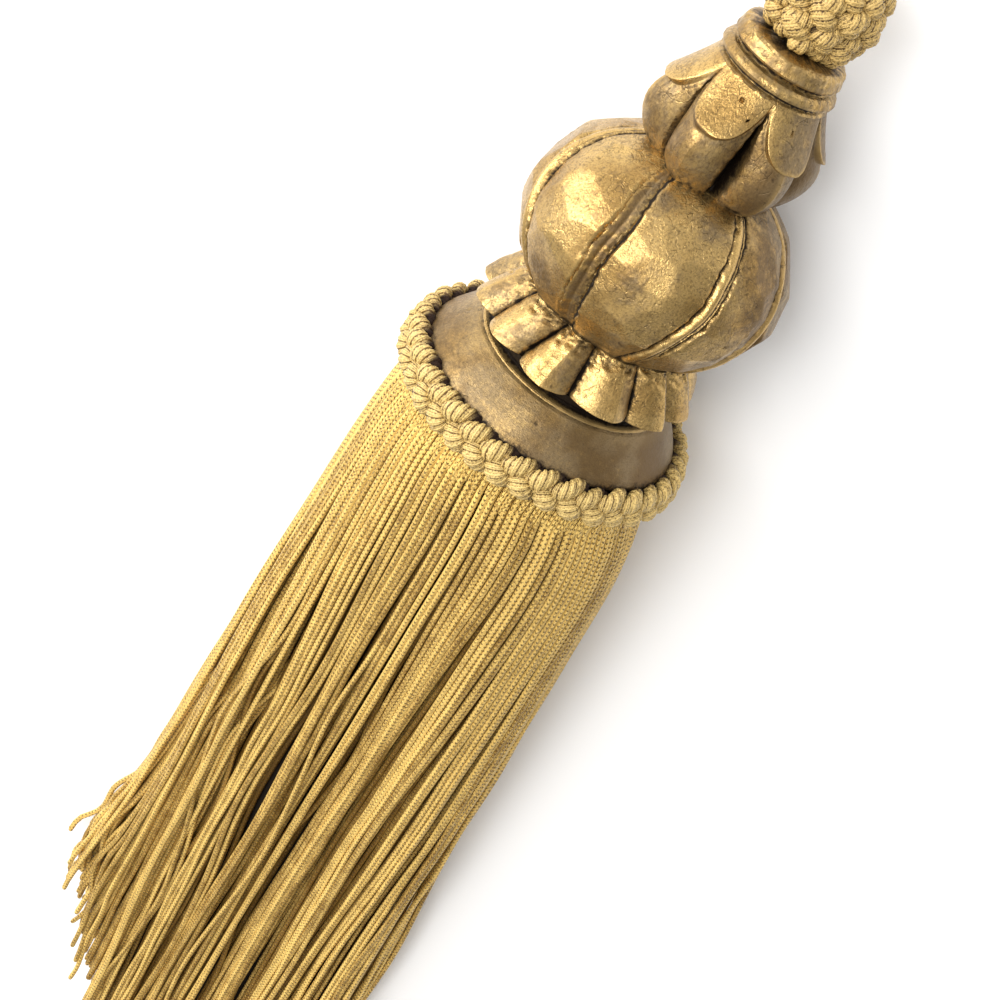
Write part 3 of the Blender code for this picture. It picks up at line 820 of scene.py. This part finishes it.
def gadroon_mesh():
    """Columns follow the valleys and the ridges between them."""
    profile = dense(GADROON_ROWS, 70)
    lowest, highest = VALLEY_STATIONS
    part = np.clip((profile[:, :1] - lowest) / (highest - lowest), 0.0, 1.0)
    at_cup, at_ball = (np.array((*degrees, degrees[0] - 360.0))
                       for degrees in (VALLEYS_AT_CUP, VALLEYS_AT_BALL))
    valleys = np.radians(at_cup + part * (at_ball - at_cup))
    side = spread_between(REED_SIDE_COLUMNS, 0.55)
    ridge = np.array(RIDGE_SHARES)[:, None]
    share = np.concatenate((side * ridge, ridge + side * (1.0 - ridge)), 1)
    end = (np.array(REED_ENDS)[:, None] + 0.5 * (share - 0.5)).ravel()
    across = np.tile(np.concatenate((1.0 - side, side)), len(ridge))
    bulge, grey = (np.tile(np.repeat(sides, len(side)), len(ridge))
                   for sides in (REED_BULGES, REED_GREYS))
    start, finish = (np.repeat(edges, 2 * len(side), 1) for edges in (valleys[:, :-1], valleys[:, 1:]))
    angle = start + (finish - start) * share.ravel()
    station, radius, cavity, edge = np.repeat(profile.T[:, :, None], len(across), 2)
    place = head_local(station, radius, angle)
    ragged = rough_field(place, 2.2, SEED + 46)
    crumbs = rough_field(place, 0.9, SEED + 47)
    fluted = ramp(station, 12.7, 13.05) * ramp(station, 23.5, 22.6)
    near_ball = ramp(station + 0.9 * ragged, 19.8, 22.4)
    fallen = VALLEY_DEPTH * (0.55 * across + 0.45 * across ** 2.6) - bulge * np.sin(math.pi * across)
    fallen = fallen + 0.5 * ramp(across, 0.90, 1.0)
    deeper = 0.75 + 0.25 * ramp(station, 22.0, 15.0)
    carved = radius - fluted * (fallen * deeper + 0.05 * ragged)
    carved = carved - fluted * near_ball * (0.35 + 0.16 * crumbs + 0.14 * ragged)
    valley = ramp(across + 0.03 * ragged, 0.88, 0.99)
    # darker in the valleys, on the slopes into them and where the reeds meet the ball: grime and painted
    # shade
    cavity = largest(cavity, fluted * valley, fluted * 0.42 * ramp(across, 0.50, 0.92),
                     near_ball * (0.36 + 0.22 * crumbs) * fluted)
    edge = largest(edge * (1 - valley), fluted * bell(across, 0.10) * 0.7,
                   0.7 * bell(station + 0.9 * ragged - 20.2, 0.4) * (1 - valley))
    shifted = station + end * ramp(station, 17.0, 13.6) * ramp(carved, 20.0, 21.5)
    points = head_local(shifted, carved, angle)
    # the third field here is only the painted shade on each reed's second side
    return lathe_mesh(points, (cavity, edge, grey + 0.0 * angle), 34.0)


CUP_ROWS = np.array((
    # station, radius, cavity, edge
    (10.2, 17.5, 1.0, 0.0),
    (10.2, 18.6, 0.9, 0.0),
    (9.7, 19.3, 0.85, 0.0),
    (9.5, 20.0, 0.4, 0.6),
    (9.35, 20.5, 0.0, 1.0),
    (9.1, 20.8, 0.0, 1.0),
    (8.9, 20.85, 0.45, 0.2),
    (8.5, 21.5, 0.0, 0.2),
    (6.4, 23.6, 0.0, 0.0),
    (3.9, 25.7, 0.0, 0.0),
    (1.9, 27.1, 0.1, 0.0),
    (0.9, 27.7, 0.5, 0.0),
    (0.3, 27.95, 0.8, 0.0),
    (0.0, 27.8, 0.9, 0.0),
    (0.0, 25.7, 0.9, 0.0),
    (-4.2, 25.6, 0.9, 0.0),
    (-4.2, 20.0, 0.9, 0.0),
))
CUP_COLUMNS = 288
CUP_DENTS = (
    # station, degrees, size
    (5.8, -3.0, 0.9), (5.5, -32.3, 0.8), (5.6, -14.9, 0.6), (4.0, 48.0, 0.6), (6.9, 76.0, 0.7),
    (4.6, -118.0, 0.8), (5.9, 150.0, 0.7),
)


def cup_mesh():
    profile = dense(CUP_ROWS, 100)
    station, radius, cavity, edge = np.repeat(profile.T[:, :, None], CUP_COLUMNS, 2)
    angle = full_turn(CUP_COLUMNS) + 0.0 * station
    for at, bearing, size in CUP_DENTS:
        aside = wrapped(angle - math.radians(bearing)) * radius
        dent = bell(np.hypot(station - at, aside), 0.55 * size)
        cavity = np.maximum(cavity, 0.55 * dent)
        radius = radius - 0.22 * dent
    points = head_local(station, radius, angle)
    uneven = rough_field(points, 14.0, SEED + 48)
    # painted shade: duller and darker on the side turned from the lamps, at negative bearings, on top of
    # an uneven dullness
    dull_and_shade = 0.90 + 0.15 * uneven + 0.50 * ramp(wrapped(angle), 0.2, -0.9)
    rusty = 0.10 * rough_field(points, 2.0, SEED + 49) * (cavity > 0.1)
    return lathe_mesh(points, (cavity + rusty, edge, dull_and_shade), 50.0)


def build_head():
    carved = gilding("carved_gilding")
    neck = gilding("neck_gilding", drawn=(1.0, 1.0, 0.6))
    turned = gilding("turned_gilding", drawn=(1.0, 1.0, 2.4), mottle=0.5, crazed=0.0)
    add_piece("melon_ball_carved", ball_mesh(), carved, ["melon_ball"], HEAD)
    add_piece("neck_calyx_carved", neck_mesh(), neck, ["neck_calyx"], HEAD)
    add_piece("gadroon_ring_carved", gadroon_mesh(), carved, ["gadroon_ring"], HEAD)
    add_piece("cup_turned", cup_mesh(), turned, ["cup"], HEAD)


# ---- cords of the plait and the knot
def cord_part(path, out, width, height, sides, exposed):
    """A cord with raised wraps round it along a path; out points off its bed."""
    step = np.linalg.norm(np.gradient(path, axis=0), axis=1)
    along = np.cumsum(step) - step[0]
    wrap = np.abs(np.sin(0.5 * WRAP_STARTS * (full_turn(sides) - TAU * along[:, None] / WRAP_PITCH)))
    swell = 0.74 + 0.31 * wrap ** 0.8
    *walls, cap_values = tube_part(path[None], sides, width * swell, height * swell, along[None],
                                   exposed[None], out)
    return *walls, 0.0 * cap_values


def braid_parts(bed, across, out, phase, cord_sizes, seed):
    """Three cords plaited over a bed line."""
    sway, rise, width, height, sides = cord_sizes
    chance = default_rng(seed)
    parts = []
    for cord in range(3):
        turn = phase + TAU * cord / 3
        uneven, lumpy = (smooth_noise(chance, np.zeros(1, int), phase[None], waves, 1.0)[0]
                         for waves in ((37.0, 17.0, 8.0), (3.1, 1.7)))
        aside = (sway + 0.25 * uneven) * np.sin(turn) + 0.18 * uneven
        up = rise * np.sin(2 * turn) + 0.16 * uneven
        path = bed + across * aside[:, None] + out * up[:, None]
        # a cord is fullest where it lies on top and pulled in where it dives
        full = (1.0 + 0.12 * np.sin(2 * turn) + 0.07 * lumpy)[:, None]
        # how far a cord lies on top; the satin paints shade where it is low
        exposed = np.clip(0.5 + 0.5 * np.sin(2 * turn) + 0.1 * lumpy, 0.0, 1.0)
        parts.append(cord_part(path, out, width * full, height * full, sides, exposed))
    return parts


PLAIT_BUMPS = 36
PLAIT_MIDDLE = -2.5
PLAIT_RADIUS = 29.5
PLAIT_CONE = 0.16
PLAIT_START = math.radians(178.0)
PLAIT_STEPS = 1420
PLAIT_CORD = (2.35, 1.15, 1.9, 1.45, 14)  # sway, rise, half width, half height, sides


def plait_mesh():
    """A flat three-cord plait round the cup's rim; its ends meet underneath."""
    turn = np.linspace(0.0, TAU, PLAIT_STEPS)
    angle = turn + PLAIT_START
    bed = head_local(PLAIT_MIDDLE, PLAIT_RADIUS, angle)
    out = head_local(0.0, 1.0, angle)
    across = unit(-PLAIT_CONE * out + np.array((0.0, 0.0, 1.0)))
    parts = braid_parts(bed, across, out, -turn * PLAIT_BUMPS / 3, PLAIT_CORD, SEED + 2)
    return tube_mesh([(rest_on_surface(verts), *rest) for verts, *rest in parts])


KNOT_ROUNDS = 3.6
KNOT_BUMPS = 9.5
KNOT_MIDDLE = 96.5
KNOT_START = math.radians(150.0)
KNOT_STEPS = 1000
KNOT_CORD = (2.2, 1.2, 1.8, 1.6, 12)  # as PLAIT_CORD
KNOT_CORE = (96.2, 8.6, 7.6)  # station, half height, radius
KNOT_BED = ((0.0, 89.9, 5.4), (0.18, 91.2, 6.8), (0.45, 95.4, 7.9), (0.7, 99.6, 7.2),
            (0.88, 102.9, 4.4), (0.95, 104.0, 2.4), (1.0, 104.5, 0.9))


def knot_mesh():
    """The same plait wound into a ball above the collar."""
    share = np.linspace(0.0, 1.0, KNOT_STEPS)
    station, radius = smooth_rows(KNOT_BED, share)
    angle = share * KNOT_ROUNDS * TAU + KNOT_START
    lumps = 0.45 * np.sin(3 * angle + 0.6) + 0.35 * np.sin(5.3 * angle)
    bed = head_local(0.0, radius + lumps, angle)
    bed[:, 2] = station + 0.4 * np.sin(2.3 * angle)
    out = unit(bed - np.array((0.0, 0.0, KNOT_MIDDLE)))
    across = unit(np.cross(out, np.gradient(bed, axis=0)))
    phase = share * KNOT_ROUNDS * KNOT_BUMPS * TAU / 3
    return tube_mesh(braid_parts(bed, across, out, phase, KNOT_CORD, SEED + 3))


def knot_core_mesh():
    polar, angle = np.meshgrid(np.linspace(0.02, math.pi - 0.02, 20), full_turn(32), indexing="ij")
    middle, half_height, radius = KNOT_CORE
    points = head_local(middle + half_height * np.cos(polar), radius * np.sin(polar), angle)
    return lathe_mesh(points)


def build_cords():
    straw = cord_satin("straw_gold_cord", STRAW_LIGHT, STRAW_DARK)
    gold = cord_satin("gold_knot_cord", KNOT_LIGHT, KNOT_DARK)
    # painted shade: the dark ball inside the knot, seen through the gaps between its cords
    core = flat_material("knot_core", KNOT_DARK, 0.8)
    add_piece("plait_cords", plait_mesh(), straw, ["plait_band"], HEAD)
    add_piece("knot_cords", knot_mesh(), gold, ["cord_knot"], HEAD)
    add_piece("knot_core", knot_core_mesh(), core, (), HEAD)


# ---- the chainette skirt
def outline_point(travel_share, depth, distance, narrower=0.0):
    """Across, up and share of half the width on the skirt's outline, inset by depth; 0 is the top."""
    height, width, *_ = smooth_rows(SKIRT_ROWS, distance)
    flat = width - narrower - height
    radius = np.maximum(height / 2 - depth, 0.7)
    aside = (travel_share + 0.5) % 1.0 - 0.5
    travel = np.abs(aside) * (2 * flat + TAU * radius)
    bend = np.clip((travel - flat / 2) / radius, 0.0, math.pi)
    under = np.clip(travel - flat / 2 - math.pi * radius, 0.0, None)
    across = np.where(travel < flat / 2, travel, flat / 2 + radius * np.sin(bend) - under)
    across = np.sign(aside) * across
    return across, radius * np.cos(bend) + height / 2, across / (width / 2)


def end_aside(share):
    """How far aside strands end, as a share of the skirt's half width; 1 is the short edge."""
    return outline_point(share, 0.0, SKIRT_ROWS[-1, 0])[2]


def on_skirt(distance, across, up, lowest):
    """World points in mm of places on the skirt's cross-sections, lifted to be no lower."""
    height, _, sway, lift, lean = smooth_rows(SKIRT_ROWS, distance)
    x = BACKING_FOOT * math.cos(DROOP) - distance + np.sin(DROOP * lean) * (up - height / 2)
    z = np.maximum(lift + np.cos(DROOP * lean) * up, lowest)
    return np.stack((RIM[0] + x, RIM[1] + across + sway, z), -1)


BUNCHES = 29
TIP = 1.1
STRAND_FLATNESS = 0.86
STAGGER = 0.45  # how much deeper every second strand lies
CROSSING = 0.14  # share of the strands that cross over others
HIDDEN_DEPTH = 3.5  # how much deeper the edge's added strands start
HIDDEN_LENGTH = 38.0
CURLED_LENGTH = 62.0
EDGE_FLARE = 5.0
SKIRT_LAYERS = (
    # name, strands, steps, sides, depth, half width, squeeze, painted shade of the layer (lower is
    # darker), start, shares of the round
    ("fringe_outer", 124, 78, 10, 0.75, 0.69, 0.44, 0.10, 0.0, (0.0, 1.0)),
    ("fringe_middle", 100, 60, 8, 2.3, 0.70, 0.22, -0.45, 0.0, (0.0, 1.0)),
    ("fringe_inner", 84, 42, 6, 3.9, 0.76, 0.06, -0.8, 0.0, (0.0, 1.0)),
    ("fringe_edge", 64, 32, 8, 1.4, 0.66, 0.0, 0.10, 100.0, (0.12, 0.37)),
)


def bunches():
    """Edges of the skirt's bunches as shares of the round, the same for every layer."""
    sizes = default_rng(SEED + 19).uniform(0.4, 1.8, BUNCHES)
    return np.append(0.0, np.cumsum(sizes / sizes.sum()))


def skirt_layer(count, steps, sides, depth, half, squeeze, layer_shade, start, shares, seed):
    """One round of strands; strands of a bunch draw together, at every depth alike."""
    chance, common = default_rng(seed), default_rng(SEED + 20)
    single = np.arange(count)
    share = (single + chance.uniform(-0.12, 0.12, count)) / count
    share = (shares[0] + (shares[1] - shares[0]) * share) % 1.0
    edges = bunches()
    bunch = np.clip(np.searchsorted(edges, share, "right") - 1, 0, BUNCHES - 1)
    middle = (edges[bunch] + edges[bunch + 1])[:, None] / 2
    place = (share[:, None] - middle) / (edges[bunch + 1] - edges[bunch])[:, None] * 2
    # painted shade: the layer's shade is added to each strand's random tag, darkening the deeper layers
    tag = chance.uniform(0.0, 1.0, count) + layer_shade

    aside = end_aside(share)
    at_edge = ramp(aside, EDGE_START, 1.0)
    length = (STRAND_LENGTH - EDGE_SHORTER * at_edge - chance.uniform(0.0, 4.0, count)
              + at_edge * chance.uniform(-5.0, 6.0, count))
    run = np.concatenate((np.linspace(0.0, 1.0, steps - 2) ** 1.1, (1.0, 1.0)))
    tip = np.concatenate((np.zeros(steps - 2), (TIP * 0.65, TIP)))
    distance = start + (length[:, None] - TIP - start) * run + tip
    growth = ramp(distance, 10.0, 150.0)

    # where a bunch starts to draw together, how hard, and how high it lies: alike in every layer
    begin = common.uniform(-5.0, 60.0, BUNCHES)[bunch, None]
    drawn = common.uniform(0.6, 1.15, BUNCHES)[bunch, None]
    raised = common.uniform(-1.0, 1.0, BUNCHES)[bunch, None]
    loose = 1.0 - 0.8 * at_edge[:, None] * ramp(distance, 120.0, 200.0)
    gather = squeeze * drawn * loose * ramp(distance, begin, begin + 120.0)
    gathered = share[:, None] + (middle - share[:, None]) * gather
    sunk = depth + 1.3 * ramp(distance, 14.0, 120.0) * (depth > 1.0)
    sunk = sunk + growth * (1.3 * place ** 2 + 0.5 * raised + STAGGER * (single[:, None] % 2))
    sunk = sunk + HIDDEN_DEPTH * (start > 0.0) * ramp(distance, start + HIDDEN_LENGTH, start)
    wander = partial(smooth_noise, chance, single, distance)
    sunk = sunk + np.abs(wander((150.0, 70.0), 0.3)) * growth
    crossing = (chance.uniform(0.0, 1.0, count) < CROSSING) * ramp(np.abs(aside), 0.8, 0.6)
    over = crossing[:, None] * ramp(distance, 60.0, 120.0)
    sunk = np.clip(sunk - 0.9 * over, 0.72 - 0.5 * over, None)
    across, up, now_aside = outline_point(gathered, sunk, distance)
    edge = ramp(now_aside, EDGE_START, 1.0)

    sideways = smooth_noise(common, bunch, distance, (190.0, 110.0), 0.75) * growth
    sideways += wander((170.0, 80.0, 45.0), 0.45) * growth + over * wander((150.0,), 2.2)
    last = edge * ramp(distance, length[:, None] - CURLED_LENGTH, length[:, None])
    flare = EDGE_FLARE * edge * ramp(distance, 150.0, STRAND_LENGTH - EDGE_SHORTER)
    curl = np.clip(wander((60.0, 36.0), 3.0) + 1.0, -4.5, 5.0)
    lifted = np.clip(wander((60.0,), 2.5), -3.0, 1.2)
    lowest = half * STRAND_FLATNESS
    points = on_skirt(distance, across + sideways + flare + curl * last,
                      np.maximum(up + lifted * last, lowest), lowest)
    taper = np.concatenate((np.ones(steps - 2), (0.86, 0.45)))
    wide = (half * chance.uniform(0.90, 1.05, (count, 1)) * taper)[..., None]
    return tube_mesh([tube_part(points, sides, wide, wide * STRAND_FLATNESS, distance, tag[:, None])])


HEADING_THREADS = 236
HEADING_LENGTH = 9.0
HEADING_HALF = 0.31


def heading_mesh():
    """Fine doubled threads that hold the strands to the heading under the plait."""
    chance = default_rng(SEED + 40)
    share = (np.arange(HEADING_THREADS) + chance.uniform(-0.25, 0.25, HEADING_THREADS)) / HEADING_THREADS
    length = HEADING_LENGTH * chance.uniform(0.75, 1.1, HEADING_THREADS)
    run = np.array((0.0, 0.25, 0.45, 0.65, 0.82, 0.95, 1.0))
    distance = length[:, None] * run
    slant = chance.uniform(-0.35, 0.35, (HEADING_THREADS, 1)) * run / 180.0
    across, up, _ = outline_point(share[:, None] + slant, 0.12 + 0.75 * run ** 5, distance)
    points = on_skirt(distance, across, up, 0.3)
    wide = HEADING_HALF * np.array((1.0, 1.0, 1.05, 1.1, 1.1, 0.9, 0.45))[:, None]
    tag = chance.uniform(0.7, 1.2, HEADING_THREADS)[:, None]
    return tube_mesh([tube_part(points, 6, wide, wide, distance, tag)])


CORE_DEPTH = 7.6
CORE_NARROWER = 3.0
CORE_SHORTER = 16.0


def core_mesh():
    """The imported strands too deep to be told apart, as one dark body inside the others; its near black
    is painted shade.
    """
    share = np.arange(72) / 72
    at_edge = ramp(end_aside(share), EDGE_START, 1.0)
    length = STRAND_LENGTH - EDGE_SHORTER * at_edge - CORE_SHORTER
    distance = 1.0 + (length - 1.0) * np.linspace(0.0, 1.0, 32)[:, None]
    across, up, _ = outline_point(share + 0.0 * distance, CORE_DEPTH, distance, CORE_NARROWER)
    return lathe_mesh(on_skirt(distance, across, np.maximum(up, 1.0), 0.0))


def build_skirt():
    yarn = chainette("golden_tan_chainette")
    add_piece("fringe_heading", heading_mesh(), yarn)
    # painted shade: a near-black body inside the strands
    add_piece("fringe_core", core_mesh(), flat_material("painted_shade_core", YARN_CORE_SHADE, 0.9))
    for number, (name, *layer) in enumerate(SKIRT_LAYERS):
        mesh = skirt_layer(*layer, seed=SEED + 30 + number)
        add_piece(name, mesh, yarn, ["fringe"] if number == 0 else ())


# ---- surroundings
FLOOR_REACH = 12.0
FLOOR_COLOUR = (0.97, 0.97, 0.975)


def build_floor():
    mesh = bpy.data.meshes.new("floor")
    corners = [(x * FLOOR_REACH, y * FLOOR_REACH, 0) for x, y in ((-1, -1), (1, -1), (1, 1), (-1, 1))]
    mesh.from_pydata(corners, [], [(0, 1, 2, 3)])
    floor = add_object("floor", mesh)
    mesh.materials.append(flat_material("pale_floor", FLOOR_COLOUR, 0.6))


SUBJECT = (0.06, 0.01, 0.03)
LIGHTS = (
    # name, direction from the subject, distance, size, watts
    ("overhead", (0.44, 0.30, 0.85), 1.1, 0.55, 7.0),
    ("window", (0.30, 0.86, 0.42), 1.1, 0.55, 8.0),
)
SKY_TOWARDS = (0.30, 0.55, 0.78)
SKY_BAND = (-0.35, 0.85)
SKY_STRENGTHS = (0.30, 1.05)
SKY_COLOUR = (1.0, 0.99, 0.97)


def build_lights():
    for name, direction, distance, size, watts in LIGHTS:
        lamp = bpy.data.lights.new(name, "AREA")
        lamp.size = size
        lamp.energy = watts
        obj = add_object(name, lamp)
        towards = Vector(direction).normalized()
        obj.location = Vector(SUBJECT) + towards * distance
        obj.rotation_euler = towards.to_track_quat("Z", "Y").to_euler()


def build_world():
    """A dome that is bright above and towards the window, and dim behind."""
    sky = Shader(bpy.data.worlds.new("studio"), "Background")
    bpy.context.scene.world = sky.owner
    place = sky.node("ShaderNodeTexCoord").outputs["Generated"]
    facing = sky.node("ShaderNodeVectorMath", {0: place, 1: Vector(SKY_TOWARDS).normalized()},
                      operation="DOT_PRODUCT").outputs["Value"]
    sky.set("Color", SKY_COLOUR)
    sky.set("Strength", sky.band(facing, *SKY_BAND, *SKY_STRENGTHS))


def build_camera():
    data = bpy.data.cameras.new("camera")
    data.lens = CAMERA_LENS
    data.sensor_width = 36.0
    data.sensor_fit = "AUTO"
    data.clip_start = 0.01
    camera = add_object("camera", data)
    camera.location = CAMERA_AT
    camera.rotation_euler = [math.radians(angle) for angle in CAMERA_TURN]
    bpy.context.scene.camera = camera


bpy.context.scene.view_settings.view_transform = "Standard"
build_camera()
build_floor()
build_lights()
build_world()
build_head()
build_cords()
build_skirt()
